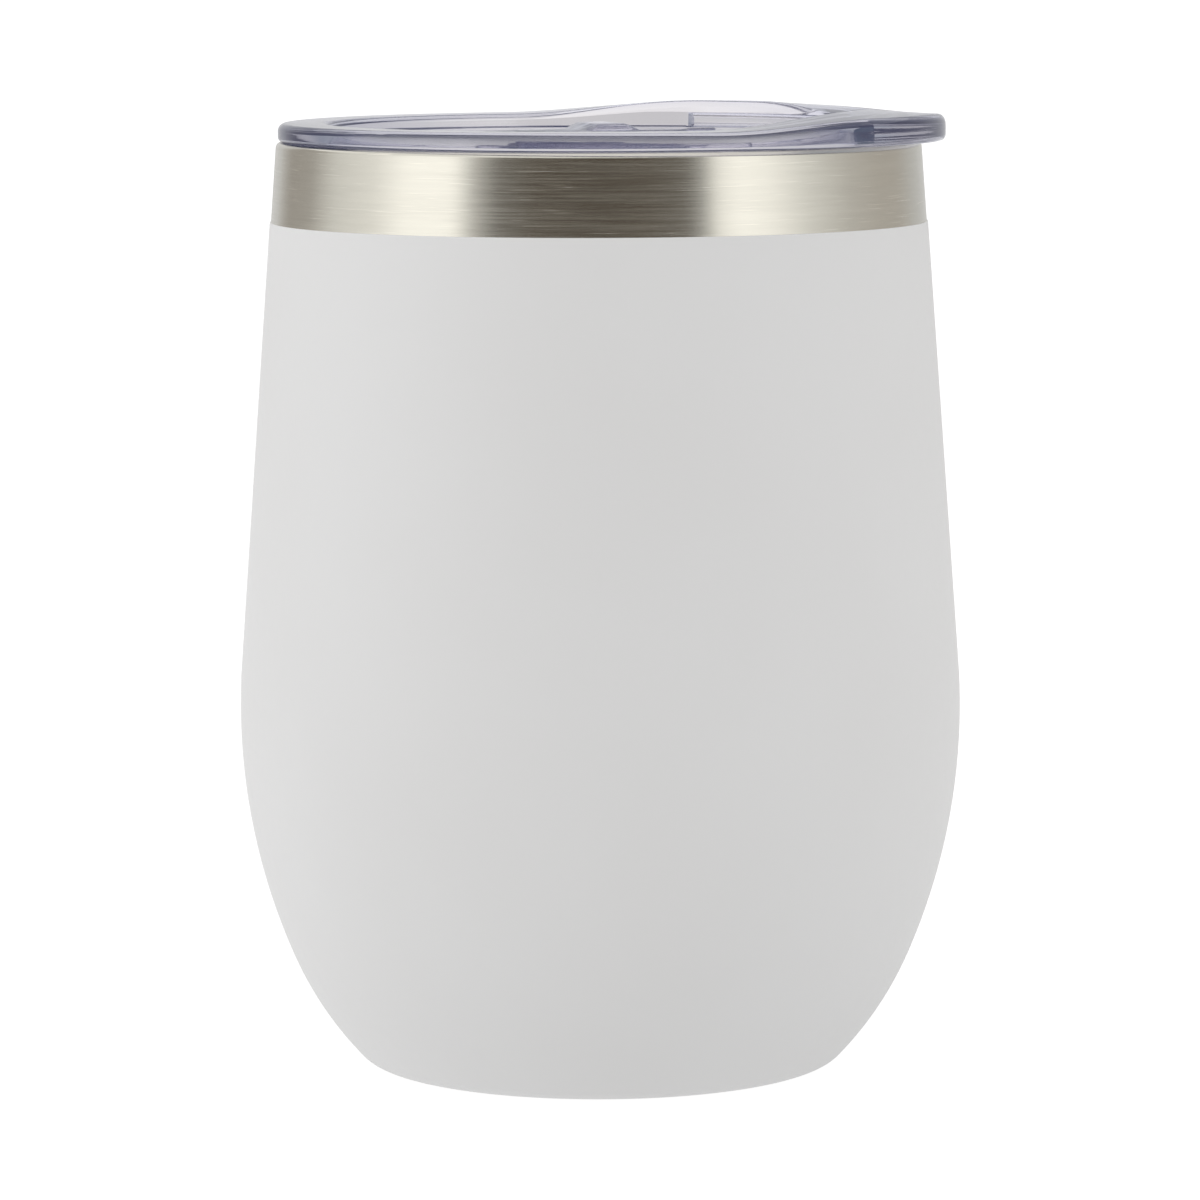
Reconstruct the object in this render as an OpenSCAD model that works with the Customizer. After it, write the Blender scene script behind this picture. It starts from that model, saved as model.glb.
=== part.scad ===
// Double-walled steel tumbler, egg-shaped, with a clear press-in lid.
// The axis of the cup is Z and it stands on Z = 0. The lid's drinking side faces +X.

/* [Cup outline] */
// Widest radius of the cup, over the coat
body_r = 44.5; // [42:0.5:48]
// Height of the widest point above the table
belly_z = 44; // [42:0.5:48]
// Height of the steel rim
rim_z = 113.8; // [108:0.1:120]
// Inward lean of the upper wall, degrees
wall_lean = 4.14; // [3:0.1:5]
// Radius of the belly's curve
belly_arc_r = 77.2; // [70:0.1:85]
// Angle below the belly where the tighter lower curve starts, degrees
belly_arc_deg = 23.3; // [20:0.1:26]
// Radius of the lower curve
lower_arc_r = 42.5; // [38:0.5:44]
// Radius of the corner at the foot
foot_corner_r = 3.6; // [2:0.1:4]

/* [Walls] */
// Thickness of the powder coat
coat_t = 0.15; // [0.1:0.01:0.2]
// Thickness of each steel wall
steel_t = 0.5; // [0.4:0.05:0.6]
// Outside of the coat to the inside of the cup
wall_t = 3.4; // [3:0.1:3.6]
// Radius of the corners on the rim's flat top
lip_corner_r = 0.7; // [0.6:0.05:1.2]
// Height of the bare steel band under the rim
band_h = 9.75; // [6:0.25:14]
// Thickness of the foil heat shield on the inner cup
foil_t = 0.12; // [0.1:0.01:0.2]
// Radius of the corner inside the cup's floor
cup_corner_r = 6; // [5:0.5:7]

/* [Base] */
// Inner radius of the ring that the cup stands on
foot_ring_r = 20.1; // [18:0.1:21]
// Height of the recess under the base
base_recess = 2; // [1.8:0.1:2.4]
// Thickness of the cover disc
cap_t = 0.5; // [0.4:0.1:0.6]

/* [Lid] */
// Radius of the lid's flange
flange_r = 40.9; // [40.5:0.1:41.2]
// Shift of the flange towards the drinking side, which makes the thumb lip
flange_shift = 1.7; // [1:0.1:2]
// Thickness of the flange where it is low
flange_t = 2.2; // [2:0.1:2.6]
// Rise of the two crests beside the drinking spout
crest_h = 1.75; // [1:0.05:2]
// Fall from the crests to the tip of the spout
spout_dip = 1; // [0.5:0.05:1.2]
// Radius of the sunken floor
dish_r = 32.8; // [32.4:0.1:33]
// Half of the angle that the spout's pocket takes in the dish's wall, degrees
pocket_deg = 50.6; // [46:0.2:54]
// Radius of the pocket's back wall
pocket_r = 35.2; // [34.8:0.1:36]
// Height of the pocket
pocket_h = 1.8; // [1.2:0.1:1.8]
// Half of the angle over which the pocket is open at the top, under the spout, degrees
pocket_open_deg = 13; // [12:1:16]
// Depth of the plug below the flange
plug_h = 9.4; // [8.5:0.1:11]
// Outer radius of the plug
plug_r = 34.6; // [34:0.1:34.8]
// Thickness of the plug's wall
plug_t = 1.8; // [1.6:0.1:2]

/* [Slider] */
// Length of the slider
slider_l = 24; // [22:0.5:25]
// Width of the slider's foot
slider_w = 14; // [13:0.5:15]
// Height of the slider's plate
slider_t = 1.8; // [1.6:0.1:2]
// Travel of the slider from open to closed
slider_travel = 15; // [14:0.5:15.5]
// Length of the drinking slot, along the slider's travel
sip_l = 5; // [4.5:0.25:5.5]
// Width of the drinking slot
sip_w = 11; // [9:0.5:11]

/* [Hidden] */
$fn = 96;

// Centres of the outline's arcs
belly_c = [body_r - belly_arc_r, belly_z];
lower_c = belly_c + (belly_arc_r - lower_arc_r) * unit(-belly_arc_deg);
foot_drop = lower_c.y - foot_corner_r;
foot_deg = asin(foot_drop / (lower_arc_r - foot_corner_r));
foot_c = [lower_c.x + (lower_arc_r - foot_corner_r) * cos(foot_deg), foot_corner_r];
cup_corner_deg = 30;
cup_corner_c = lower_c + (lower_arc_r - wall_t - cup_corner_r) * unit(-cup_corner_deg);
cup_floor_z = cup_corner_c.y - cup_corner_r;

// The two walls fold over to a flat-topped rim and meet at its middle
lip_out_c = on_wall(coat_t + lip_corner_r, rim_z - lip_corner_r);
lip_in_c = on_wall(wall_t - lip_corner_r, rim_z - lip_corner_r);
seam_x = (lip_out_c.x + lip_in_c.x) / 2;
coat_top_z = rim_z - band_h;
coat_end_deg = 72;

// Base
base_t = 0.6;
base_r = foot_c.x;
step_w = 1;
port_r = 0.9;
base_top_z = base_recess + base_t;
getter_x = 11;
getter_r = 3.5;
getter_t = 1.2;
clip_w = 4;
clip_t = 0.3;
cap_gap = 0.3;
cap_z = 0.5;

// Lid
lid_gap = 0.1;
flange_z = rim_z + lid_gap;
low_z = flange_z + flange_t;
lid_floor_z = flange_z - 0.6;
lid_floor_t = 1.8;
dish_slope = 0.08;
dish_h = 6;
pocket_z = flange_z + 0.5;
gasket_z = flange_z - plug_h + 2.1;
gasket_h = 3.8;
groove_depth = 0.8;
fit_gap = 0.05;
gasket_r = lip_in_c.x - lip_corner_r - 0.08;
sip_x = 22.5;
vent_r = 1;
vent_x = -22;
spout_r = 32;

// Slider, drawn open and centred near the cup's axis
slider_x = 0.3;
slider_z = lid_floor_z + lid_gap;
foot_t = 0.8;
foot_step = 1;
side_gap = 0.25;
rail_t = 1.5;
rail_x = [-12.5, 18];
rail_h = 1.6;
grip_h = 0.8;
grip_x = [-5, -2.2, 2.6, 5.4];
grip_w = 9;
// The pad lies over the drinking slot when the slider is closed
pad_x = sip_x - slider_travel;
pad_margin = 0.65;
pad_t = 0.55;

function unit(deg) = [cos(deg), sin(deg)];

// Points on an arc about c, from one angle to another
function arc(c, r, from, to, steps) =
    [for (i = [0:steps]) c + r * unit(from + (to - from) * i / steps)];

// Point at height z on the straight upper wall, t under the outer surface
function on_wall(t, z) =
    let (p = belly_c + (belly_arc_r - t) * unit(wall_lean))
    [p.x - (z - p.y) * tan(wall_lean), z];

// Belly and lower curve, t under the outer surface, from an angle up to the straight wall
function belly_curve(t) = arc(belly_c, belly_arc_r - t, -belly_arc_deg, wall_lean, 14);
function lower_curve(t, from) = arc(lower_c, lower_arc_r - t, -from, -belly_arc_deg, 8);

function outer_curve(t, from = 90) =
    concat(arc(foot_c, foot_corner_r - t, -from, -foot_deg, 6),
           lower_curve(t, foot_deg), belly_curve(t));

function cup_curve(t) =
    concat(arc(cup_corner_c, cup_corner_r + wall_t - t, -90, -cup_corner_deg, 8),
           lower_curve(t, cup_corner_deg), belly_curve(t));

function reversed(list) = [for (i = [len(list) - 1:-1:0]) list[i]];

// Smooth step from 0 to 1
function ease(t) = let (u = min(max(t, 0), 1)) u * u * (3 - 2 * u);

// Height of the lid's top edge at a place along X: flat, up to the crests, down to the spout
function edge_z(x) = low_z + crest_h * ease((x - 1) / 22) - spout_dip * ease((x - 26) / 16);

module lathe(points) {
    rotate_extrude() polygon(points);
}

module outer_shell() {
    inner_t = coat_t + steel_t;
    color("silver")
        lathe(concat(outer_curve(coat_t), arc(lip_out_c, lip_corner_r, wall_lean, 90, 6),
                     [[seam_x, rim_z], [seam_x, rim_z - steel_t]],
                     reversed(concat(outer_curve(inner_t),
                                     arc(lip_out_c, lip_corner_r - steel_t, wall_lean, 90, 6)))));
}

module powder_coat() {
    color("white")
        lathe(concat(outer_curve(0, coat_end_deg), [on_wall(0, coat_top_z)],
                     [on_wall(coat_t, coat_top_z)], reversed(outer_curve(coat_t, coat_end_deg))));
}

module inner_liner() {
    color("gainsboro")
        lathe(concat([[0, cup_floor_z]], cup_curve(wall_t),
                     arc(lip_in_c, lip_corner_r, 180 + wall_lean, 90, 6),
                     [[seam_x, rim_z], [seam_x, rim_z - steel_t]],
                     arc(lip_in_c, lip_corner_r - steel_t, 90, 180 + wall_lean, 6),
                     reversed(cup_curve(wall_t - steel_t)), [[0, cup_floor_z - steel_t]]));
}

module heat_shield() {
    outside_t = wall_t - steel_t - foil_t;
    foil_top_z = rim_z - 14;
    color("darkorange")
        lathe(concat(belly_curve(outside_t), [on_wall(outside_t, foil_top_z)],
                     [on_wall(outside_t + foil_t, foil_top_z)],
                     reversed(belly_curve(outside_t + foil_t))));
}

module outer_base() {
    color("lightsteelblue")
        lathe([[foot_ring_r, 0], [base_r, 0], [base_r, base_t], [foot_ring_r + base_t, base_t],
               [foot_ring_r + base_t - step_w, base_top_z], [port_r, base_top_z],
               [port_r, base_recess], [foot_ring_r - step_w, base_recess]]);
}

module vacuum_seal() {
    bead_r = 3.5;
    bead_h = 0.7;
    bead_arc_r = (bead_r * bead_r + bead_h * bead_h) / (2 * bead_h);
    bead_c = [0, base_recess - bead_h + bead_arc_r];
    bead_deg = asin(bead_r / bead_arc_r);
    color("darkolivegreen")
        lathe(concat(arc(bead_c, bead_arc_r, -90, -90 + bead_deg, 8),
                     [[port_r, base_recess], [port_r, base_top_z], [0, base_top_z]]));
}

module getter() {
    color("dimgray")
        translate([getter_x, 0, base_top_z]) cylinder(r = getter_r, h = getter_t);
}

module getter_clip() {
    inside_l = 2 * getter_r + 1;
    foot_l = 1.5;
    color("gray")
        translate([getter_x, 0, base_top_z])
            for (side = [-1, 1]) {
                translate([side * (inside_l + clip_t) / 2 - clip_t / 2, -clip_w / 2, 0])
                    cube([clip_t, clip_w, getter_t + clip_t]);
                translate([side * (inside_l + foot_l) / 2 - foot_l / 2, -clip_w / 2, 0])
                    cube([foot_l, clip_w, clip_t]);
                translate([-inside_l / 2, -clip_w / 2, getter_t])
                    cube([inside_l, clip_w, clip_t]);
            }
}

module cap_adhesive() {
    glue_r = [9, 17];
    color("khaki")
        lathe([[glue_r[0], cap_z + cap_t], [glue_r[1], cap_z + cap_t],
               [glue_r[1], base_recess], [glue_r[0], base_recess]]);
}

module base_cap() {
    cap_r = foot_ring_r - step_w * (cap_z + cap_t) / base_recess - cap_gap;
    bevel = 0.15;
    color("silver")
        lathe([[0, cap_z], [cap_r - bevel, cap_z], [cap_r, cap_z + bevel],
               [cap_r, cap_z + cap_t], [0, cap_z + cap_t]]);
}

// Flange with its waved top edge
module flange() {
    crown_z = low_z + crest_h + 1;
    edge = 0.6;
    intersection() {
        translate([flange_shift, 0, 0])
            lathe([[0, flange_z], [flange_r - edge, flange_z], [flange_r, flange_z + edge],
                   [flange_r, crown_z], [0, crown_z]]);
        rotate([90, 0, 0])
            linear_extrude(height = 2 * flange_r + 10, center = true)
                polygon(concat([for (x = [-44:2:44]) [x, edge_z(x)]],
                               [[44, flange_z - 1], [-44, flange_z - 1]]));
    }
}

// Drinking spout: a shallow trough that leads from the dish to the tip of the flange
module trough() {
    tip_x = flange_shift + flange_r;
    tip_z = edge_z(tip_x);
    fall_deg = 5;
    translate([tip_x, 0, tip_z + spout_r])
        rotate([0, 90 - fall_deg, 0])
            cylinder(r = spout_r, h = 40, center = true, $fn = 180);
}

module slot(l, w, h) {
    end_r = l / 2;
    translate([0, -w / 2 + end_r, 0]) cylinder(r = end_r, h = h);
    translate([0, w / 2 - end_r, 0]) cylinder(r = end_r, h = h);
    translate([-end_r, -w / 2 + end_r, 0]) cube([l, w - l, h]);
}

// Rails that hook over the slider's foot
module rails() {
    half = slider_w / 2 + side_gap;
    hook = foot_step - 0.2;
    hook_z = slider_z + foot_t + 0.2;
    rail_l = rail_x[1] - rail_x[0];
    for (side = [-1, 1]) {
        mirror([0, side < 0 ? 1 : 0, 0]) {
            translate([rail_x[0], half, lid_floor_z]) cube([rail_l, rail_t, rail_h]);
            translate([rail_x[0], half - hook, hook_z])
                cube([rail_l, hook, lid_floor_z + rail_h - hook_z]);
        }
    }
}

module wedge(half_deg, h) {
    reach = 60;
    linear_extrude(height = h)
        polygon([[0, 0], reach * [1, -tan(half_deg)], reach * [1, tan(half_deg)]]);
}

// Pocket in the dish's wall behind the drinking slot, open at the top where the trough crosses it
module spout_pocket() {
    translate([0, 0, pocket_z])
        intersection() {
            cylinder(r = pocket_r, h = dish_h);
            union() {
                wedge(pocket_deg, pocket_h);
                wedge(pocket_open_deg, dish_h);
            }
        }
}

module lid_body() {
    plug_z = flange_z - plug_h;
    groove_r = plug_r - groove_depth;
    dish_top_r = dish_r + dish_slope * dish_h;
    color("lightsteelblue", 0.5) {
        difference() {
            union() {
                flange();
                translate([0, 0, lid_floor_z - lid_floor_t])
                    cylinder(r = plug_r, h = flange_z + 1 - lid_floor_z + lid_floor_t);
                lathe([[plug_r - plug_t, plug_z], [plug_r - 0.5, plug_z], [plug_r, plug_z + 0.5],
                       [plug_r, gasket_z], [groove_r, gasket_z], [groove_r, gasket_z + gasket_h],
                       [plug_r, gasket_z + gasket_h], [plug_r, flange_z + 1],
                       [plug_r - plug_t, flange_z + 1]]);
            }
            translate([0, 0, lid_floor_z])
                cylinder(r1 = dish_r, r2 = dish_top_r, h = dish_h);
            spout_pocket();
            trough();
            translate([sip_x, 0, lid_floor_z - lid_floor_t - 1])
                slot(sip_l, sip_w, lid_floor_t + 2);
            translate([vent_x, 0, lid_floor_z - lid_floor_t - 1])
                cylinder(r = vent_r, h = lid_floor_t + 2);
        }
        rails();
    }
}

// Fin of the gasket, from its root up and out to its tip
function fin(z) = [[gasket_r - 1.3, z], [gasket_r, z + 0.5], [gasket_r, z + 0.8],
                   [gasket_r - 1.3, z + 0.6]];

module lid_gasket() {
    ring_in = plug_r - groove_depth + fit_gap;
    ring_out = gasket_r - 1.3;
    low = gasket_z + fit_gap;
    high = gasket_z + gasket_h - fit_gap;
    color("whitesmoke", 0.8)
        lathe(concat([[ring_in, low], [ring_out, low]], fin(low + 0.5), fin(low + 2.2),
                     [[ring_out, high], [ring_in, high]]));
}

module plate(l, w, h) {
    for (end = [-1, 1])
        translate([end * (l - w) / 2, 0, 0]) cylinder(r = w / 2, h = h);
    translate([-(l - w) / 2, -w / 2, 0]) cube([l - w, w, h]);
}

module slider() {
    color("lightsteelblue", 0.6)
        translate([slider_x, 0, slider_z])
            difference() {
                union() {
                    plate(slider_l, slider_w, foot_t);
                    plate(slider_l - 2 * foot_step, slider_w - 2 * foot_step, slider_t);
                    translate([0, 0, slider_t - 0.2])
                        rotate([90, 0, 0])
                            linear_extrude(height = grip_w, center = true)
                                polygon([[grip_x[0], 0], [grip_x[3], 0],
                                         [grip_x[2], grip_h + 0.2], [grip_x[1], grip_h + 0.2]]);
                }
                translate([pad_x - slider_x, 0, -1])
                    slot(sip_l + 2 * pad_margin, sip_w + 2 * pad_margin, pad_t + 1 - fit_gap);
            }
}

module slider_seal() {
    color("snow")
        translate([pad_x, 0, lid_floor_z + fit_gap])
            slot(sip_l + 2 * pad_margin, sip_w + 2 * pad_margin, pad_t);
}

outer_shell();
powder_coat();
inner_liner();
heat_shield();
outer_base();
vacuum_seal();
getter();
getter_clip();
cap_adhesive();
base_cap();
lid_body();
lid_gasket();
slider();
slider_seal();
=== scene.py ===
from math import asin, cos, hypot, atan2, pi, radians, sin, tan

import bmesh
import bpy
from mathutils import Matrix, Vector


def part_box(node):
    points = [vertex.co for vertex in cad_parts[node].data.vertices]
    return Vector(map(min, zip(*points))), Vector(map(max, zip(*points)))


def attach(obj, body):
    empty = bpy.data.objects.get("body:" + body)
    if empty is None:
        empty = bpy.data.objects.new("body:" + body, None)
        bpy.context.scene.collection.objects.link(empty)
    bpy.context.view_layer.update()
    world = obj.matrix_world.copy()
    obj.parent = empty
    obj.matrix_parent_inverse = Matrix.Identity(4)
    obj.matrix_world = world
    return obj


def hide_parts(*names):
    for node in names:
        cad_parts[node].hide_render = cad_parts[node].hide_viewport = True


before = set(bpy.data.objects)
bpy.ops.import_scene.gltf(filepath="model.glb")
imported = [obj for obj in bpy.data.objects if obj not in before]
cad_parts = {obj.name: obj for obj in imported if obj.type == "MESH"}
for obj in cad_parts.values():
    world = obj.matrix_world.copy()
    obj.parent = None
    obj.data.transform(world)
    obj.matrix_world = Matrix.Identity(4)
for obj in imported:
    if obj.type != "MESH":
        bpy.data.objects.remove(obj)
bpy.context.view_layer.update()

MM = 0.001
TURN_STEPS = 192
LID_STEPS = 288
POCKET_STEPS = 80
CREASE = radians(30)

# Cup outline, in metres: heights and widths come from the frame, the curves' radii are named here
BODY_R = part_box("powder_coat")[1].x
RIM_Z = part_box("outer_shell")[1].z
COAT_TOP_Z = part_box("powder_coat")[1].z
BELLY_Z = 44 * MM
WALL_LEAN = radians(4.14)
BELLY_ARC_R = 77.2 * MM
BELLY_ARC = radians(23.3)
LOWER_ARC_R = 42.5 * MM
FOOT_CORNER_R = 3.6 * MM
LIP_CORNER_R = 0.7 * MM
COAT_T = 0.15 * MM
STEEL_T = 0.5 * MM
WALL_T = 3.4 * MM
CUP_CORNER_R = 6 * MM
CUP_CORNER = radians(30)
COAT_END = radians(72)

# Lid, from the frame's boxes and the same design sizes
LID_LOW, LID_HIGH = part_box("lid_body")
LID_FLANGE_R = (LID_HIGH.x - LID_LOW.x) / 2
LID_SHIFT = (LID_HIGH.x + LID_LOW.x) / 2
CREST_H = 1.75 * MM
LID_TOP_Z = LID_HIGH.z - CREST_H
FLANGE_Z = RIM_Z + 0.1 * MM
LID_FLOOR_Z = FLANGE_Z - 0.6 * MM
LID_FLOOR_T = 1.8 * MM
GROOVE_DEPTH = 0.8 * MM
GROOVE_Z = LID_LOW.z + 2.1 * MM
GROOVE_H = 3.8 * MM
DISH_R = 32.8 * MM
DISH_TOP_R = 33.1 * MM
POCKET_R = 35.2 * MM
POCKET_ANGLE = radians(50.6)
POCKET_OPEN_ANGLE = radians(13)
POCKET_Z = FLANGE_Z + 0.5 * MM
POCKET_H = 1.8 * MM
RAIL_H = 1.6 * MM
PLUG_R = 34.6 * MM
PLUG_T = 1.8 * MM
SLOT_X = 22.5 * MM
SLOT_L = 5 * MM
SLOT_W = 11 * MM
VENT_X = -22 * MM
VENT_R = 1 * MM


# ---------------------------------------------------------------- mesh helpers

def around(centre, radius, angle):
    """The point on a circle in the outline's plane, as (radius, height)."""
    return centre[0] + radius * cos(angle), centre[1] + radius * sin(angle)


def ease(t):
    t = min(max(t, 0), 1)
    return t * t * (3 - 2 * t)


class Outline:
    """A wire in the XZ plane, drawn with mesh operators and turned about Z."""

    def __init__(self, start):
        self.mesh = bmesh.new()
        self.first = self.tip = self.mesh.verts.new((start[0], 0, start[1]))

    def line(self, *points):
        for x, z in points:
            made = bmesh.ops.extrude_vert_indiv(self.mesh, verts=[self.tip])
            self.tip = made["verts"][0]
            self.tip.co = (x, 0, z)
        return self

    def arc(self, centre, angle, steps):
        """Carries on from the tip round a centre, anticlockwise where the angle is positive."""
        made = bmesh.ops.spin(self.mesh, geom=[self.tip], cent=(centre[0], 0, centre[1]),
                              axis=(0, -1, 0), angle=angle, steps=steps)
        self.tip = [v for v in made["geom_last"] if isinstance(v, bmesh.types.BMVert)][0]
        return self

    def close(self):
        self.mesh.edges.new((self.tip, self.first))
        return self

    def round(self, radius, *points, segments=4):
        """Rounds the outline's corners at these points."""
        for x, z in points:
            corner = min(self.mesh.verts, key=lambda v: hypot(v.co.x - x, v.co.z - z))
            bmesh.ops.bevel(self.mesh, geom=[corner], offset=radius, segments=segments,
                            affect="VERTICES", profile=0.5, material=-1)
        return self

    def turn(self, name, steps=TURN_STEPS):
        mesh = self.mesh
        bmesh.ops.spin(mesh, geom=mesh.verts[:] + mesh.edges[:], cent=(0, 0, 0), axis=(0, 0, 1),
                       angle=2 * pi, steps=steps, use_merge=True)
        bmesh.ops.remove_doubles(mesh, verts=mesh.verts, dist=1e-7)
        bmesh.ops.recalc_face_normals(mesh, faces=mesh.faces)
        return piece(name, mesh)


def smooth(data):
    """Shades a mesh smooth but for edges sharper than the crease angle."""
    data.shade_smooth()
    data.set_sharp_from_angle(angle=CREASE)


def piece(name, mesh):
    """Turns a bmesh into an object."""
    data = bpy.data.meshes.new(name)
    mesh.to_mesh(data)
    mesh.free()
    smooth(data)
    thing = bpy.data.objects.new(name, data)
    bpy.context.scene.collection.objects.link(thing)
    return thing


def cut_or_join(thing, tools, operation):
    """Joins other solids to a solid, or cuts them out of it, and leaves one plain mesh."""
    for tool in tools:
        step = thing.modifiers.new(operation, "BOOLEAN")
        step.operation = operation
        step.solver = "EXACT"
        step.object = tool
    bpy.context.view_layer.update()
    shape = thing.evaluated_get(bpy.context.evaluated_depsgraph_get())
    data = bpy.data.meshes.new_from_object(shape)
    thing.modifiers.clear()
    thing.data = data
    smooth(data)
    for tool in tools:
        bpy.data.objects.remove(tool)


def sharp_edges(mesh):
    return [e for e in mesh.edges if e.calc_face_angle() > radians(60)]


def soften(mesh, edges, radius, segments):
    """Rounds a solid's edges."""
    bmesh.ops.bevel(mesh, geom=edges, offset=radius, segments=segments, affect="EDGES", profile=0.5,
                    material=-1)


def block(name, low, high, edge):
    """A box between two corners, with rounded edges."""
    mesh = bmesh.new()
    bmesh.ops.create_cube(mesh, size=1)
    size = Vector(high) - Vector(low)
    bmesh.ops.scale(mesh, vec=size, verts=mesh.verts)
    bmesh.ops.translate(mesh, vec=(Vector(high) + Vector(low)) / 2, verts=mesh.verts)
    soften(mesh, mesh.edges[:], edge, 3)
    return piece(name, mesh)


def oblong(length, width, steps=48):
    """A flat face with two round ends, along X, centred on the origin."""
    mesh = bmesh.new()
    bmesh.ops.create_circle(mesh, cap_ends=True, segments=steps, radius=width / 2)
    bmesh.ops.rotate(mesh, cent=(0, 0, 0), matrix=Matrix.Rotation(pi / steps, 3, "Z"), verts=mesh.verts)
    for v in mesh.verts:
        v.co.x += (length - width) / 2 * (1 if v.co.x > 0 else -1)
    return mesh


def raise_face(mesh, height, inset=0.0):
    """Insets the mesh's topmost face and pulls it up, like one step of a moulded part."""
    top = max(mesh.faces, key=lambda f: (f.normal.z > 0.5, f.calc_center_median().z))
    if inset:
        bmesh.ops.inset_region(mesh, faces=[top], thickness=inset, use_even_offset=True)
    on_a_solid = all(e.is_manifold for e in top.edges)
    made = bmesh.ops.extrude_face_region(mesh, geom=[top])
    if on_a_solid:
        mesh.faces.remove(top)
    verts = [v for v in made["geom"] if isinstance(v, bmesh.types.BMVert)]
    bmesh.ops.translate(mesh, vec=(0, 0, height), verts=verts)
    mesh.normal_update()
    return verts


# ---------------------------------------------------------------- cup

BELLY_C = (BODY_R - BELLY_ARC_R, BELLY_Z)
LOWER_C = around(BELLY_C, BELLY_ARC_R - LOWER_ARC_R, -BELLY_ARC)
FOOT_ANGLE = asin((LOWER_C[1] - FOOT_CORNER_R) / (LOWER_ARC_R - FOOT_CORNER_R))
FOOT_C = (LOWER_C[0] + (LOWER_ARC_R - FOOT_CORNER_R) * cos(FOOT_ANGLE), FOOT_CORNER_R)
CUP_CORNER_C = around(LOWER_C, LOWER_ARC_R - WALL_T - CUP_CORNER_R, -CUP_CORNER)


def on_wall(depth, z):
    """The point at a height on the straight upper wall, some depth under the outer surface."""
    x, start = around(BELLY_C, BELLY_ARC_R - depth, WALL_LEAN)
    return x - (z - start) * tan(WALL_LEAN), z


LIP_OUT_C = on_wall(COAT_T + LIP_CORNER_R, RIM_Z - LIP_CORNER_R)
LIP_IN_C = on_wall(WALL_T - LIP_CORNER_R, RIM_Z - LIP_CORNER_R)
SEAM = [((LIP_OUT_C[0] + LIP_IN_C[0]) / 2, z) for z in (RIM_Z, RIM_Z - STEEL_T)]


def up_the_outside(depth, from_angle=pi / 2):
    """The outer wall's curve from the foot up to the straight wall."""
    outline = Outline(around(FOOT_C, FOOT_CORNER_R - depth, -from_angle))
    outline.arc(FOOT_C, from_angle - FOOT_ANGLE, 8)
    outline.arc(LOWER_C, FOOT_ANGLE - BELLY_ARC, 14)
    return outline.arc(BELLY_C, BELLY_ARC + WALL_LEAN, 24)


def down_the_outside(outline, depth, to_angle=pi / 2):
    outline.line(around(BELLY_C, BELLY_ARC_R - depth, WALL_LEAN))
    outline.arc(BELLY_C, -BELLY_ARC - WALL_LEAN, 24)
    outline.arc(LOWER_C, BELLY_ARC - FOOT_ANGLE, 14)
    return outline.arc(FOOT_C, FOOT_ANGLE - to_angle, 8)


def make_outer_shell():
    """Outer wall with its half of the folded rim."""
    outline = up_the_outside(COAT_T)
    outline.line(on_wall(COAT_T, COAT_TOP_Z), around(LIP_OUT_C, LIP_CORNER_R, WALL_LEAN))
    outline.arc(LIP_OUT_C, pi / 2 - WALL_LEAN, 8)
    outline.line(*SEAM, (LIP_OUT_C[0], RIM_Z - STEEL_T))
    outline.arc(LIP_OUT_C, WALL_LEAN - pi / 2, 8)
    down_the_outside(outline, COAT_T + STEEL_T)
    return outline.close().turn("shell_wall")


def make_coat():
    """Powder coat, thick enough to stand proud of the band, with a soft masked edge."""
    edge = on_wall(0, COAT_TOP_Z)
    outline = up_the_outside(0, COAT_END)
    outline.line(edge, on_wall(COAT_T, COAT_TOP_Z))
    down_the_outside(outline, COAT_T, COAT_END)
    return outline.close().round(0.09 * MM, edge).turn("coat_skin")


def make_liner():
    """Inner cup with its half of the folded rim and a spun floor."""
    floor_z = CUP_CORNER_C[1] - CUP_CORNER_R
    outline = Outline((0, floor_z))
    outline.line((9 * MM, floor_z), (9.6 * MM, floor_z + 0.25 * MM), (CUP_CORNER_C[0], floor_z + 0.25 * MM))
    outline.line((CUP_CORNER_C[0] + 0.8 * MM, floor_z + 0.3 * MM))
    outline.line(around(CUP_CORNER_C, CUP_CORNER_R, radians(-72)))
    outline.arc(CUP_CORNER_C, radians(72) - CUP_CORNER, 10)
    outline.arc(LOWER_C, CUP_CORNER - BELLY_ARC, 4)
    outline.arc(BELLY_C, BELLY_ARC + WALL_LEAN, 24)
    outline.line(around(LIP_IN_C, LIP_CORNER_R, WALL_LEAN + pi))
    outline.arc(LIP_IN_C, -pi / 2 - WALL_LEAN, 8)
    outline.line(*SEAM, (LIP_IN_C[0], RIM_Z - STEEL_T))
    outline.arc(LIP_IN_C, pi / 2 + WALL_LEAN, 8)
    outline.line(around(BELLY_C, BELLY_ARC_R - WALL_T + STEEL_T, WALL_LEAN))
    outline.arc(BELLY_C, -BELLY_ARC - WALL_LEAN, 24)
    outline.arc(LOWER_C, BELLY_ARC - CUP_CORNER, 4)
    outline.arc(CUP_CORNER_C, CUP_CORNER - pi / 2, 10)
    outline.line((0, floor_z - STEEL_T))
    return outline.turn("liner_cup")


def make_base():
    """Pressed base: standing ring, step and recessed disc with the pump port."""
    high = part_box("outer_base")[1]
    ring_r, top = high.x, high.z
    sheet, step_r, port_r = 0.6 * MM, 20.1 * MM, 0.9 * MM
    recess = top - sheet
    corners = [(step_r, 0), (step_r + sheet, sheet), (step_r + sheet - MM, top), (step_r - MM, recess)]
    outline = Outline((ring_r, 0))
    outline.line((ring_r, sheet), corners[1], corners[2], (port_r, top), (port_r, recess))
    outline.line(corners[3], corners[0])
    outline.close()
    return outline.round(0.25 * MM, *corners).turn("pressed_base")


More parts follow.
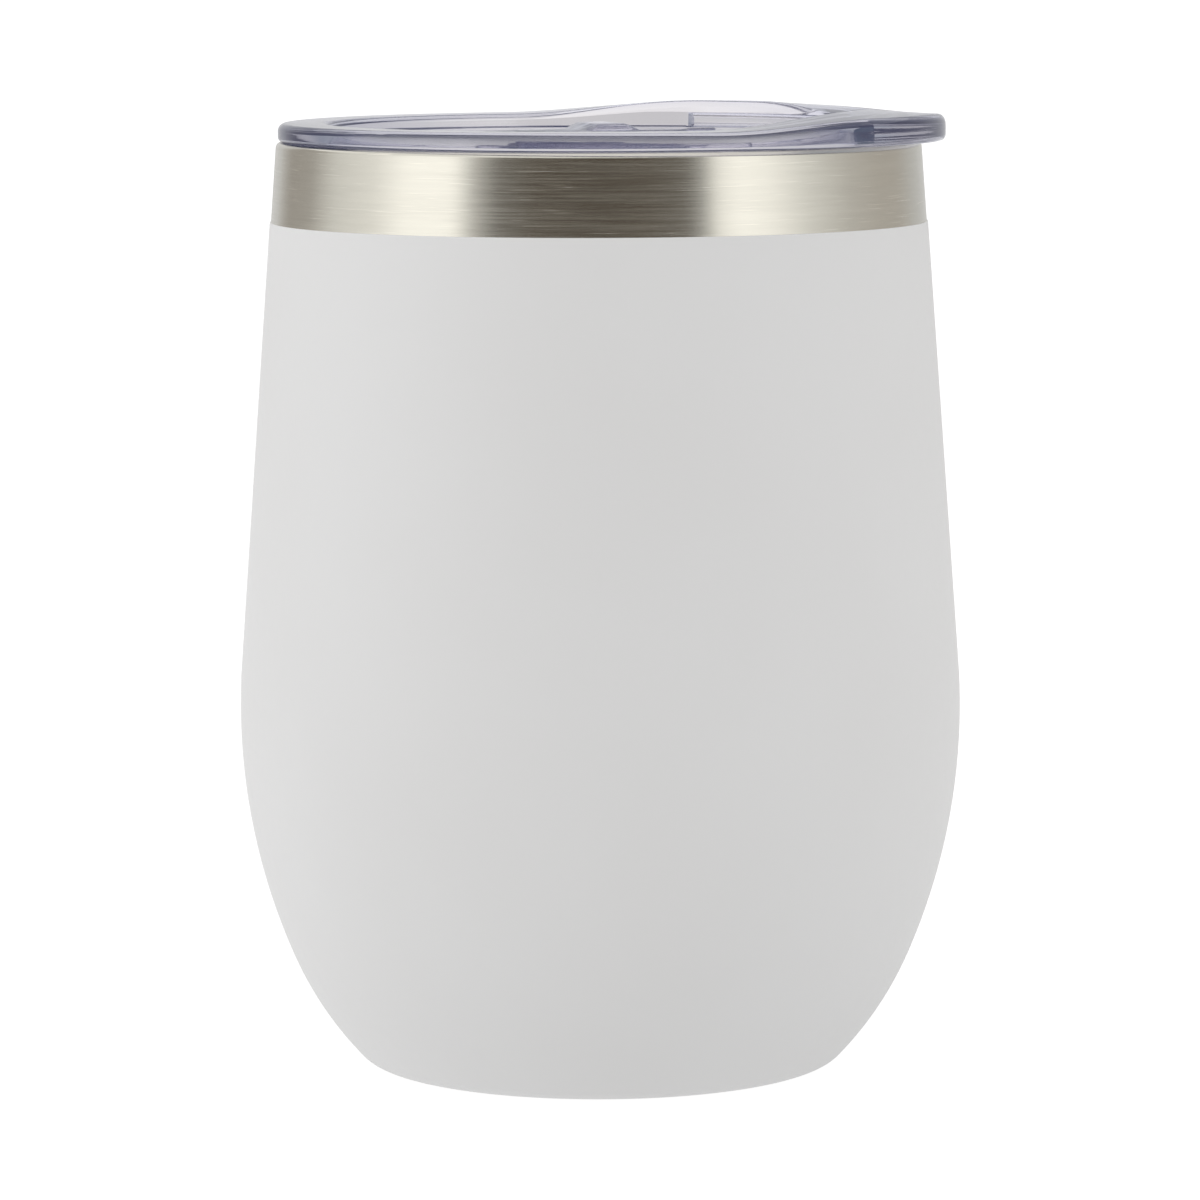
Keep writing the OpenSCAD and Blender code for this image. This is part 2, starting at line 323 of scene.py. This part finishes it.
def make_base_cap():
    """Cover disc under the base, with a shallow raised ring."""
    low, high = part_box("base_cap")
    radius, bottom, top = high.x, low.z, high.z
    outline = Outline((0, bottom))
    outline.line((11 * MM, bottom), (11.6 * MM, bottom + 0.18 * MM), (13 * MM, bottom + 0.18 * MM))
    outline.line((13.6 * MM, bottom), (radius, bottom), (radius, top), (0, top))
    return outline.round(0.2 * MM, (radius, bottom)).turn("cover_disc")


# ---------------------------------------------------------------- lid

def lid_rise(x, y, across):
    """How far the lid's top edge stands above its low side: two crests with a spout between them."""
    crest = CREST_H * ease((x - 1 * MM) / (22 * MM)) * (1 - 0.4 * across)
    side = min(abs(atan2(y, x)) / radians(34), 1)
    trough = (1 + cos(pi * side)) / 2
    return crest - trough * (2.1 - 1.75 * across) * MM * (x > 0)


def make_lid_body():
    """Clear moulding: flange, dish, spout, plug with the gasket's groove, rails and openings."""
    floor_z, under_z = LID_FLOOR_Z, LID_FLOOR_Z - LID_FLOOR_T
    plug_z, groove_r, groove_top = LID_LOW.z, PLUG_R - GROOVE_DEPTH, GROOVE_Z + GROOVE_H
    brim = [(DISH_TOP_R + (LID_FLANGE_R - DISH_TOP_R) * i / 7, LID_TOP_Z) for i in range(8)]
    wall = [(DISH_R + (DISH_TOP_R - DISH_R) * i / 3, floor_z + (LID_TOP_Z - floor_z) * i / 3) for i in (1, 2)]
    outline = Outline((0, floor_z))
    outline.line((31 * MM, floor_z), (DISH_R, floor_z), *wall, *brim)
    outline.line((LID_FLANGE_R, LID_TOP_Z - 1.3 * MM), (LID_FLANGE_R, FLANGE_Z), (PLUG_R, FLANGE_Z))
    outline.line((PLUG_R, groove_top), (groove_r, groove_top), (groove_r, GROOVE_Z))
    outline.line((PLUG_R, GROOVE_Z), (PLUG_R, plug_z), (PLUG_R - PLUG_T, plug_z))
    outline.line((PLUG_R - PLUG_T, under_z), (0, under_z))
    outline.round(0.95 * MM, brim[-1], segments=6)
    outline.round(0.8 * MM, brim[0], segments=5)
    outline.round(0.6 * MM, (DISH_R, floor_z), segments=5)
    outline.round(0.5 * MM, (LID_FLANGE_R, FLANGE_Z), (PLUG_R, plug_z), (PLUG_R - PLUG_T, under_z))
    outline.round(0.15 * MM, (PLUG_R, GROOVE_Z), (PLUG_R, groove_top), segments=2)
    lid = outline.turn("lid_moulding", LID_STEPS)

    for v in lid.data.vertices:
        reach = hypot(v.co.x, v.co.y)
        if reach > DISH_R - MM and v.co.z > floor_z + 1e-6:
            across = min(max((reach - DISH_TOP_R) / (LID_FLANGE_R - DISH_TOP_R), 0), 1)
            v.co.x += LID_SHIFT * ease(across)
            foot = FLANGE_Z if reach > DISH_TOP_R + MM else floor_z
            weight = min(max((v.co.z - foot) / (LID_TOP_Z - foot), 0), 1)
            v.co.z += weight * lid_rise(v.co.x, v.co.y, across)

    cut_or_join(lid, make_rails(), "UNION")
    cut_or_join(lid, [slot_cutter(under_z), vent_cutter(floor_z)] + spout_pocket(), "DIFFERENCE")
    return lid


def make_rails():
    """Two low rails that hook over the slider's foot, each a wall and a hook."""
    low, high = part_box("slider")
    half, top_z, hook_z = high.y + 0.25 * MM, LID_FLOOR_Z + RAIL_H, low.z + 1.0 * MM
    wall = ((-12.5 * MM, half, LID_FLOOR_Z - 0.5 * MM), (18 * MM, half + 1.5 * MM, top_z), 0.3 * MM)
    hook = ((-12.2 * MM, half - 0.8 * MM, hook_z), (17.7 * MM, half + 0.5 * MM, top_z), 0.2 * MM)
    rails = []
    for side in (-1, 1):
        for name, span in (("wall", wall), ("hook", hook)):
            rail = block(f"rail_{name}", *span)
            if side < 0:
                rail.data.transform(Matrix.Scale(-1, 4, (0, 1, 0)))
                rail.data.flip_normals()
            rails.append(rail)
    return rails


def slot_cutter(under_z):
    """The drinking slot's hole, flared at the top."""
    slot = oblong(SLOT_W, SLOT_L)
    bmesh.ops.translate(slot, vec=(0, 0, under_z - 1.0 * MM), verts=slot.verts)
    raise_face(slot, 0.75 * MM + LID_FLOOR_T)
    flare = raise_face(slot, 1.0 * MM)
    bmesh.ops.scale(slot, vec=(1.14, 1.3, 1), verts=flare)
    bmesh.ops.rotate(slot, cent=(0, 0, 0), matrix=Matrix.Rotation(pi / 2, 3, "Z"), verts=slot.verts)
    bmesh.ops.translate(slot, vec=(SLOT_X, 0, 0), verts=slot.verts)
    bmesh.ops.recalc_face_normals(slot, faces=slot.faces)
    return piece("slot_cutter", slot)


def vent_cutter(floor_z):
    vent = bmesh.new()
    bmesh.ops.create_cone(vent, cap_ends=True, segments=40, radius1=VENT_R, radius2=VENT_R, depth=6 * MM)
    bmesh.ops.translate(vent, vec=(VENT_X, 0, floor_z), verts=vent.verts)
    return piece("vent_cutter", vent)


def wall_cutter(outline, half_angle):
    """An outline swung to both sides of the drinking slot."""
    mesh = outline.close().mesh
    bmesh.ops.rotate(mesh, cent=(0, 0, 0), matrix=Matrix.Rotation(-half_angle, 3, "Z"), verts=mesh.verts)
    bmesh.ops.spin(mesh, geom=mesh.verts[:] + mesh.edges[:], cent=(0, 0, 0), axis=(0, 0, 1),
                   angle=2 * half_angle, steps=POCKET_STEPS)
    bmesh.ops.holes_fill(mesh, edges=[e for e in mesh.edges if e.is_boundary])
    bmesh.ops.recalc_face_normals(mesh, faces=mesh.faces)
    return piece("wall_cutter", mesh)


def spout_pocket():
    """The pocket in the dish's wall, and its open top where the trough crosses it."""
    inner, roof, sky = DISH_R - 3 * MM, POCKET_Z + POCKET_H, LID_HIGH.z + MM
    pocket = Outline((inner, POCKET_Z)).line((POCKET_R, POCKET_Z), (POCKET_R, roof), (inner, roof))
    pocket.round(0.5 * MM, (POCKET_R, POCKET_Z)).round(1.2 * MM, (POCKET_R, roof), segments=8)
    low = POCKET_Z + 0.55 * MM
    gap = Outline((inner, low)).line((POCKET_R, low), (POCKET_R, sky), (inner, sky))
    return [wall_cutter(pocket, POCKET_ANGLE), wall_cutter(gap, POCKET_OPEN_ANGLE)]


def make_gasket():
    """Silicone ring with two fins that point up and out."""
    low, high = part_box("lid_gasket")
    tip_r = high.x
    ring_in = PLUG_R - GROOVE_DEPTH + 0.05 * MM
    ring_out = tip_r - 1.3 * MM
    outline = Outline((ring_in, low.z)).line((ring_out, low.z))
    tips = []
    for root in (low.z + 0.5 * MM, low.z + 2.2 * MM):
        tip = [(tip_r, root + 0.5 * MM), (tip_r, root + 0.8 * MM)]
        outline.line((ring_out, root), *tip, (ring_out, root + 0.6 * MM))
        tips += tip
    outline.line((ring_out, high.z), (ring_in, high.z)).close()
    outline.round(0.12 * MM, *tips, segments=3)
    corners = [(ring_in, low.z), (ring_in, high.z), (ring_out, high.z), (ring_out, low.z)]
    outline.round(0.2 * MM, *corners, segments=3)
    return outline.turn("gasket_ring")


def make_slider():
    """Clear slider: a foot that the rails hold, a raised plate and a ramped thumb grip."""
    low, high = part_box("slider")
    centre = (low + high) / 2
    length, width = high.x - low.x, high.y - low.y
    foot_t, plate_t, step = 0.8 * MM, 1.8 * MM, 1.0 * MM
    mesh = oblong(length, width)
    raise_face(mesh, foot_t)
    raise_face(mesh, plate_t - foot_t, inset=step)
    bmesh.ops.recalc_face_normals(mesh, faces=mesh.faces)
    soften(mesh, sharp_edges(mesh), 0.2 * MM, 3)
    bmesh.ops.translate(mesh, vec=(centre.x, 0, low.z), verts=mesh.verts)
    slider = piece("slider_plate", mesh)

    grip = bmesh.new()
    bmesh.ops.create_cube(grip, size=1)
    bmesh.ops.scale(grip, vec=(10.4 * MM, 9 * MM, 1.6 * MM), verts=grip.verts)
    bmesh.ops.translate(grip, vec=(centre.x + 0.2 * MM, 0, high.z - 0.8 * MM), verts=grip.verts)
    upper = [v for v in grip.verts if v.co.z > high.z - 0.1 * MM]
    bmesh.ops.scale(grip, vec=(0.35, 0.9, 1), space=Matrix.Translation((-centre.x, 0, 0)), verts=upper)
    soften(grip, grip.edges[:], 0.35 * MM, 4)
    cut_or_join(slider, [piece("grip", grip)], "UNION")
    pad_low, pad_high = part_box("slider_seal")
    pocket = across_the_slider(pad_low, pad_high)
    bmesh.ops.translate(pocket, vec=(0, 0, low.z - MM), verts=pocket.verts)
    raise_face(pocket, pad_high.z - low.z + MM)
    bmesh.ops.recalc_face_normals(pocket, faces=pocket.faces)
    cut_or_join(slider, [piece("pocket", pocket)], "DIFFERENCE")
    return slider


def across_the_slider(low, high):
    """A flat oblong face that fills a box and lies across the slider."""
    mesh = oblong(high.y - low.y, high.x - low.x)
    bmesh.ops.rotate(mesh, cent=(0, 0, 0), matrix=Matrix.Rotation(pi / 2, 3, "Z"), verts=mesh.verts)
    bmesh.ops.translate(mesh, vec=((low.x + high.x) / 2, 0, 0), verts=mesh.verts)
    return mesh


def make_seal_pad():
    """Silicone pad with rounded edges, a hair smaller than its pocket."""
    low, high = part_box("slider_seal")
    room = Vector((0.04, 0.04, 0.01)) * MM
    mesh = across_the_slider(low + room, high - room)
    bmesh.ops.translate(mesh, vec=(0, 0, low.z + room.z), verts=mesh.verts)
    raise_face(mesh, high.z - low.z - 2 * room.z)
    bmesh.ops.recalc_face_normals(mesh, faces=mesh.faces)
    soften(mesh, sharp_edges(mesh), 0.15 * MM, 4)
    return piece("seal_pad", mesh)


# ---------------------------------------------------------------- finishes

class Signal:
    """A shader socket that Python's operators work on."""

    def __init__(self, finish, socket):
        self.finish = finish
        self.socket = socket

    def joined(self, operation, first, second):
        return self.finish.add("Math", {"operation": operation}, {0: first, 1: second})

    def __add__(self, other):
        return self.joined("ADD", self, other)

    def __radd__(self, other):
        return self.joined("ADD", other, self)

    def __mul__(self, other):
        return self.joined("MULTIPLY", self, other)

    def __rmul__(self, other):
        return self.joined("MULTIPLY", other, self)


class Finish:
    """A material and the one method that adds nodes to it."""

    def __init__(self, name):
        self.material = bpy.data.materials.new(name)
        self.material.use_nodes = True
        self.nodes = self.material.node_tree.nodes
        self.links = self.material.node_tree.links
        self.nodes.clear()

    def add(self, kind, settings=None, sockets=None, output=0):
        node = self.nodes.new("ShaderNode" + kind)
        for name, value in (settings or {}).items():
            if name == "stops":
                self.set_stops(node.color_ramp, value)
            else:
                setattr(node, name, value)
        for name, value in (sockets or {}).items():
            if isinstance(value, Signal):
                self.links.new(value.socket, node.inputs[name])
            else:
                node.inputs[name].default_value = value
        return None if output is None else Signal(self, node.outputs[output])

    @staticmethod
    def set_stops(ramp, stops):
        """Gives a colour ramp its stops, each a place from 0 to 1 and a colour."""
        while len(ramp.elements) < len(stops):
            ramp.elements.new(1)
        for element, (position, colour) in zip(ramp.elements, stops):
            element.position = position
            element.color = colour

    def place(self, scale=(1, 1, 1), move=(0, 0, 0), turn=0):
        """The object's own coordinates, scaled, turned about Z and moved."""
        here = self.add("TexCoord", output="Object")
        return self.add("Mapping", sockets={"Vector": here, "Scale": scale, "Rotation": (0, 0, turn),
                                            "Location": move})

    def noise(self, where, scale, detail=3.0, roughness=0.5):
        return self.add("TexNoise", sockets={"Vector": where, "Scale": scale, "Detail": detail,
                                             "Roughness": roughness})

    def band(self, signal, low, high, to_low=0.0, to_high=1.0):
        """Maps a range of a signal smoothly to another range."""
        return self.add("MapRange", {"interpolation_type": "SMOOTHSTEP"},
                        {"Value": signal, "From Min": low, "From Max": high,
                         "To Min": to_low, "To Max": to_high})

    def mix(self, factor, first, second):
        """Blends two colours."""
        return self.add("Mix", {"data_type": "RGBA"}, {0: factor, 6: first, 7: second}, output=2)

    def bump(self, height, strength, distance):
        return self.add("Bump", sockets={"Height": height, "Strength": strength, "Distance": distance})

    def surface(self, volume=None, **sockets):
        names = {name.replace("_", " "): value for name, value in sockets.items()}
        ends = {"Surface": self.add("BsdfPrincipled", sockets=names)}
        if volume:
            ends["Volume"] = volume
        self.add("OutputMaterial", sockets=ends, output=None)
        return self.material


def grey(value, warm=0.0):
    return (value * (1 + warm), value, value * (1 - warm), 1)


def steel(value):
    """Stainless steel's faintly yellow grey."""
    return (value * 1.035, value, value * 0.885, 1)


def powder_coat_paint():
    """Matt white powder coat: fine orange peel, pinhead grain and a faint unevenness in tone."""
    paint = Finish("powder_coat_paint")
    grain = paint.noise(paint.place(), 3400, 2, 0.6)
    peel = paint.noise(paint.place(), 700, 3, 0.55)
    cloud = paint.noise(paint.place(), 35, 2, 0.5)
    tone = paint.mix(paint.band(cloud, 0.3, 0.7), grey(0.746, 0.003), grey(0.758, 0.001))
    return paint.surface(Base_Color=tone, Roughness=paint.band(peel, 0.3, 0.7, 0.50, 0.60),
                         Normal=paint.bump(0.4 * grain + 0.9 * peel, 0.2, 0.00005), IOR=1.5)


def brushed_band_steel():
    """Stainless steel brushed round the cup: long fine lines, some deeper and some bright."""
    band = Finish("brushed_band_steel")
    lines = band.noise(band.place((50, 50, 5200)), 1, 4, 0.6)
    broad = band.noise(band.place((90, 90, 1300), (3, 5, 7)), 1, 3, 0.5)
    scratch = band.noise(band.place((130, 130, 6500), (9, 2, 4)), 1, 2, 0.5)
    marks = band.band(scratch, 0.62, 0.74)
    tone = band.mix(band.band(broad, 0.3, 0.7), steel(0.635), steel(0.66))
    tone = band.mix(marks, tone, steel(0.74))
    rough = band.band(lines, 0.3, 0.7, 0.16, 0.24) + 0.05 * marks
    height = lines + 0.5 * marks
    return band.surface(Base_Color=tone, Metallic=1.0, Roughness=rough, Anisotropic=0.6,
                        Anisotropic_Rotation=0.25, Normal=band.bump(height, 0.12, 0.00002))


def spun_liner_steel():
    """Electropolished inner cup with faint turning rings."""
    steel = Finish("spun_liner_steel")
    rings = steel.noise(steel.place((20, 20, 1500)), 1, 3, 0.5)
    cloud = steel.noise(steel.place(), 60, 3, 0.5)
    tone = steel.mix(steel.band(cloud, 0.3, 0.7), grey(0.56, 0.015), grey(0.63, 0.01))
    return steel.surface(Base_Color=tone, Metallic=1.0, Roughness=steel.band(rings, 0.3, 0.7, 0.22, 0.34),
                         Normal=steel.bump(rings, 0.2, 0.00004))


def satin_base_steel():
    """Pressed base sheet: satin, with fine grain one way and light scuffs where it stands."""
    steel = Finish("satin_base_steel")
    grain = steel.noise(steel.place((60, 2600, 60)), 1, 3, 0.6)
    scuff = steel.noise(steel.place((1, 1, 1), (2, 4, 1)), 420, 5, 0.7)
    marks = steel.band(scuff, 0.60, 0.70)
    tone = steel.mix(marks, grey(0.58, 0.012), grey(0.70, 0.01))
    rough = steel.band(grain, 0.3, 0.7, 0.28, 0.40) + 0.1 * marks
    return steel.surface(Base_Color=tone, Metallic=1.0, Roughness=rough,
                         Normal=steel.bump(grain, 0.25, 0.00003))


def copper_foil():
    """Crinkled copper foil round the inner cup."""
    foil = Finish("copper_foil")
    crinkle = foil.noise(foil.place(), 240, 4, 0.6)
    tone = foil.mix(crinkle, (0.62, 0.30, 0.17, 1), (0.86, 0.52, 0.36, 1))
    return foil.surface(Base_Color=tone, Metallic=1.0, Roughness=foil.band(crinkle, 0.3, 0.7, 0.16, 0.34),
                        Normal=foil.bump(crinkle, 0.6, 0.0003))


def solder_glass():
    """Dark fused glass bead over the pump port."""
    bead = Finish("solder_glass")
    swirl = bead.noise(bead.place(), 900, 4, 0.6)
    tone = bead.mix(swirl, (0.035, 0.05, 0.03, 1), (0.10, 0.13, 0.085, 1))
    return bead.surface(Base_Color=tone, Roughness=bead.band(swirl, 0.3, 0.7, 0.08, 0.2),
                        Normal=bead.bump(swirl, 0.3, 0.00008))


def getter_alloy():
    """Dull sintered pellet."""
    pellet = Finish("getter_alloy")
    grain = pellet.noise(pellet.place(), 3200, 4, 0.7)
    tone = pellet.mix(grain, grey(0.12), grey(0.30, 0.01))
    return pellet.surface(Base_Color=tone, Metallic=0.8, Roughness=0.7,
                          Normal=pellet.bump(grain, 0.6, 0.0001))


def cured_adhesive():
    """Cured adhesive with small bubbles."""
    glue = Finish("cured_adhesive")
    bubble = glue.add("TexVoronoi", sockets={"Vector": glue.place(), "Scale": 1400})
    tone = glue.mix(glue.band(bubble, 0.1, 0.4), (0.50, 0.43, 0.28, 1), (0.72, 0.66, 0.50, 1))
    return glue.surface(Base_Color=tone, Roughness=0.45, Normal=glue.bump(bubble, 0.4, 0.0001))


def clear_plastic(name, density, rough):
    """Clear moulded plastic with faint flow marks and wipe marks, painted blue where it is seen edge on and
    given a faint painted blue glow.
    """
    plastic = Finish(name)
    flow = plastic.noise(plastic.place((1, 1, 3)), 90, 3, 0.5)
    wipe = plastic.noise(plastic.place((260, 900, 260)), 1, 3, 0.6)
    absorb = plastic.add("VolumeAbsorption", sockets={"Color": (0.50, 0.45, 0.42, 1), "Density": density})
    # Painted shade: the base colour turns blue where the surface is seen edge on, standing in for the navy of
    # light's long paths inside the plastic.
    edge_on = plastic.add("LayerWeight", sockets={"Blend": 0.5}, output=1)
    painted_edge_on_tint = plastic.mix(edge_on, (1.0, 0.985, 1.0, 1), (0.54, 0.58, 0.79, 1))
    return plastic.surface(volume=absorb, Base_Color=painted_edge_on_tint, IOR=1.54, Transmission_Weight=1.0,
                           # Painted glow: a faint blue emission, though the plastic gives no light of its
                           # own.
                           Emission_Color=(0.36, 0.42, 1.0, 1), Emission_Strength=0.017,
                           Roughness=plastic.band(wipe, 0.45, 0.8, rough, rough + 0.05),
                           Normal=plastic.bump(flow, 0.08, 0.0002))


def translucent_silicone():
    """Soft translucent silicone, matt, with a dusty bloom."""
    rubber = Finish("translucent_silicone")
    bloom = rubber.noise(rubber.place(), 700, 4, 0.6)
    tone = rubber.mix(bloom, (0.80, 0.82, 0.84, 1), (0.90, 0.91, 0.92, 1))
    return rubber.surface(Base_Color=tone, Roughness=rubber.band(bloom, 0.3, 0.7, 0.42, 0.6), IOR=1.42,
                          Transmission_Weight=0.35, Normal=rubber.bump(bloom, 0.15, 0.0001))


# ---------------------------------------------------------------- the assembly

def dress(thing, material):
    thing.data.materials.clear()
    thing.data.materials.append(material)


def fit(thing, node, body, material):
    """Puts a finished piece in its node's place, on its body, with its finish."""
    dress(thing, material)
    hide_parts(node)
    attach(thing, body)


def build_tumbler():
    base_steel = satin_base_steel()
    silicone = translucent_silicone()
    fit(make_outer_shell(), "outer_shell", "cup", brushed_band_steel())
    fit(make_coat(), "powder_coat", "cup", powder_coat_paint())
    fit(make_liner(), "inner_liner", "cup", spun_liner_steel())
    fit(make_base(), "outer_base", "cup", base_steel)
    fit(make_base_cap(), "base_cap", "cup", base_steel)
    fit(make_lid_body(), "lid_body", "lid", clear_plastic("clear_lid_plastic", 34, 0.03))
    fit(make_gasket(), "lid_gasket", "gasket", silicone)
    fit(make_slider(), "slider", "slider", clear_plastic("clear_slider_plastic", 32, 0.04))
    fit(make_seal_pad(), "slider_seal", "slider", silicone)
    dress(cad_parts["heat_shield"], copper_foil())
    dress(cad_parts["vacuum_seal"], solder_glass())
    dress(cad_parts["getter"], getter_alloy())
    dress(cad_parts["getter_clip"], base_steel)
    dress(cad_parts["cap_adhesive"], cured_adhesive())


# ---------------------------------------------------------------- studio

VIEW_AZIMUTH = radians(-19)
VIEW_PITCH = radians(6.75)
VIEW_ROLL = radians(-0.17)
VIEW_DISTANCE = 0.7
VIEW_HEIGHT = 139.95 * MM
VIEW_LENS = 170.9


def heading(azimuth, distance, height):
    """A place at an azimuth measured as the views measure it: 0 is in front, along -Y."""
    return Vector((sin(azimuth) * distance, -cos(azimuth) * distance, height))


def make_camera():
    lens = bpy.data.cameras.new("camera")
    lens.lens = VIEW_LENS
    lens.sensor_width = 36
    lens.clip_start, lens.clip_end = 0.01, 50
    camera = bpy.data.objects.new("camera", lens)
    bpy.context.scene.collection.objects.link(camera)
    camera.location = heading(VIEW_AZIMUTH, VIEW_DISTANCE, VIEW_HEIGHT)
    turn = Matrix.Rotation(VIEW_AZIMUTH, 3, "Z") @ Matrix.Rotation(pi / 2 - VIEW_PITCH, 3, "X")
    camera.rotation_euler = (turn @ Matrix.Rotation(VIEW_ROLL, 3, "Z")).to_euler()
    bpy.context.scene.camera = camera


# Light that the surround gives at each azimuth from the camera's, in degrees, and how warm it is
SURROUND_R = 1.0
SURROUND_PEAK = 1.42
SURROUND = [(-180, 0.70, 0), (-152, 0.66, 0), (-137, 0.38, 0.06), (-119, 0.44, 0.04), (-104, 0.82, 0),
            (-84, 1.02, 0), (-70, 1.40, 0), (-51, 1.42, 0), (-43, 0.58, 0), (-35, 0.18, 0.05),
            (-22, 0.085, 0.20), (0, 0.065, 0.24), (16, 0.085, 0.20), (30, 0.13, 0.10), (35.5, 0.36, 0),
            (41.5, 1.20, 0), (49.5, 1.42, 0), (60, 1.30, 0), (77, 0.88, 0), (96, 0.60, 0.02),
            (114, 0.50, 0.05), (128, 0.49, 0.05), (142, 0.58, 0), (180, 0.70, 0)]


def glow(card, strength, light=(1, 1, 1, 1), diffuse=(0, 0, 0, 1)):
    """Makes a card give light, with no gloss of its own."""
    return card.surface(Base_Color=diffuse, Emission_Color=light, Emission_Strength=strength,
                        Roughness=1.0, Specular_IOR_Level=0.0)


def surround_glow(name, cast):
    """Soft lamps and black cloth set round the object, blended from one to the next."""
    card = Finish(name)
    around_z = card.add("TexGradient", {"gradient_type": "RADIAL"},
                        {"Vector": card.place(turn=pi / 2 - VIEW_AZIMUTH)})
    stops = [((azimuth + 180) / 360, grey(light / SURROUND_PEAK, cast * warm))
             for azimuth, light, warm in SURROUND]
    return glow(card, SURROUND_PEAK, card.add("ValToRGB", {"stops": stops}, {"Fac": around_z}))


def table_glow():
    """Light coming back off the table, dimmer near the foot and most of all to its right."""
    card = Finish("table_bounce")
    reach = 0.17
    centre = heading(VIEW_AZIMUTH + radians(75), 0.035, 0)
    nearness = card.add("TexGradient", {"gradient_type": "SPHERICAL"},
                        {"Vector": card.place((1 / reach,) * 3, -centre / reach)})
    stops = [(0, grey(0.98)), (0.3, grey(0.97)), (0.8, grey(0.82)), (1, grey(0.76))]
    return glow(card, 1.0, card.add("ValToRGB", {"stops": stops}, {"Fac": nearness}))


def stage(name, mesh, material, *unseen_by):
    """A stage piece that some kinds of ray pass through."""
    thing = piece(name, mesh)
    dress(thing, material)
    for ray in unseen_by:
        setattr(thing, "visible_" + ray, False)


def curved_card(start, end, low, high):
    """An upright card round the object, between two azimuths in degrees from the camera's."""
    start, end = (VIEW_AZIMUTH + radians(a) for a in (start, end))
    mesh = bmesh.new()
    ends = [mesh.verts.new(heading(start, SURROUND_R, z)) for z in (low, high)]
    edge = mesh.edges.new(ends)
    bmesh.ops.spin(mesh, geom=ends + [edge], cent=(0, 0, 0), axis=(0, 0, 1), angle=end - start,
                   steps=72)
    return mesh


def make_studio():
    scene = bpy.context.scene
    scene.view_settings.view_transform = "Standard"
    world = bpy.data.worlds.new("studio")
    scene.world = world
    world.use_nodes = True
    world.node_tree.nodes["Background"].inputs["Color"].default_value = (1, 1, 1, 1)
    world.node_tree.nodes["Background"].inputs["Strength"].default_value = 1.03

    floor = bmesh.new()
    bmesh.ops.create_circle(floor, cap_ends=True, segments=64, radius=30)
    bounce = floor.copy()
    bmesh.ops.translate(bounce, vec=(0, 0, -MM), verts=bounce.verts)
    stage("floor", floor, glow(Finish("pale_floor"), 0.92, diffuse=grey(0.2)),
          "diffuse", "glossy", "transmission", "shadow")
    stage("bounce_floor", bounce, table_glow(), "camera")

    stage("surround", curved_card(-180, 180, 0, 0.6), surround_glow("surround_light", 1),
          "camera", "transmission")
    stage("lid_surround", curved_card(-180, 180, 0, 1.2), surround_glow("blue_surround_light", -1.5),
          "camera", "diffuse", "glossy", "shadow")
    stage("left_wash", curved_card(-110, -20, 0.6, 1.6), glow(Finish("left_wash_light"), 1.55),
          "camera", "glossy", "transmission")


make_camera()
build_tumbler()
make_studio()
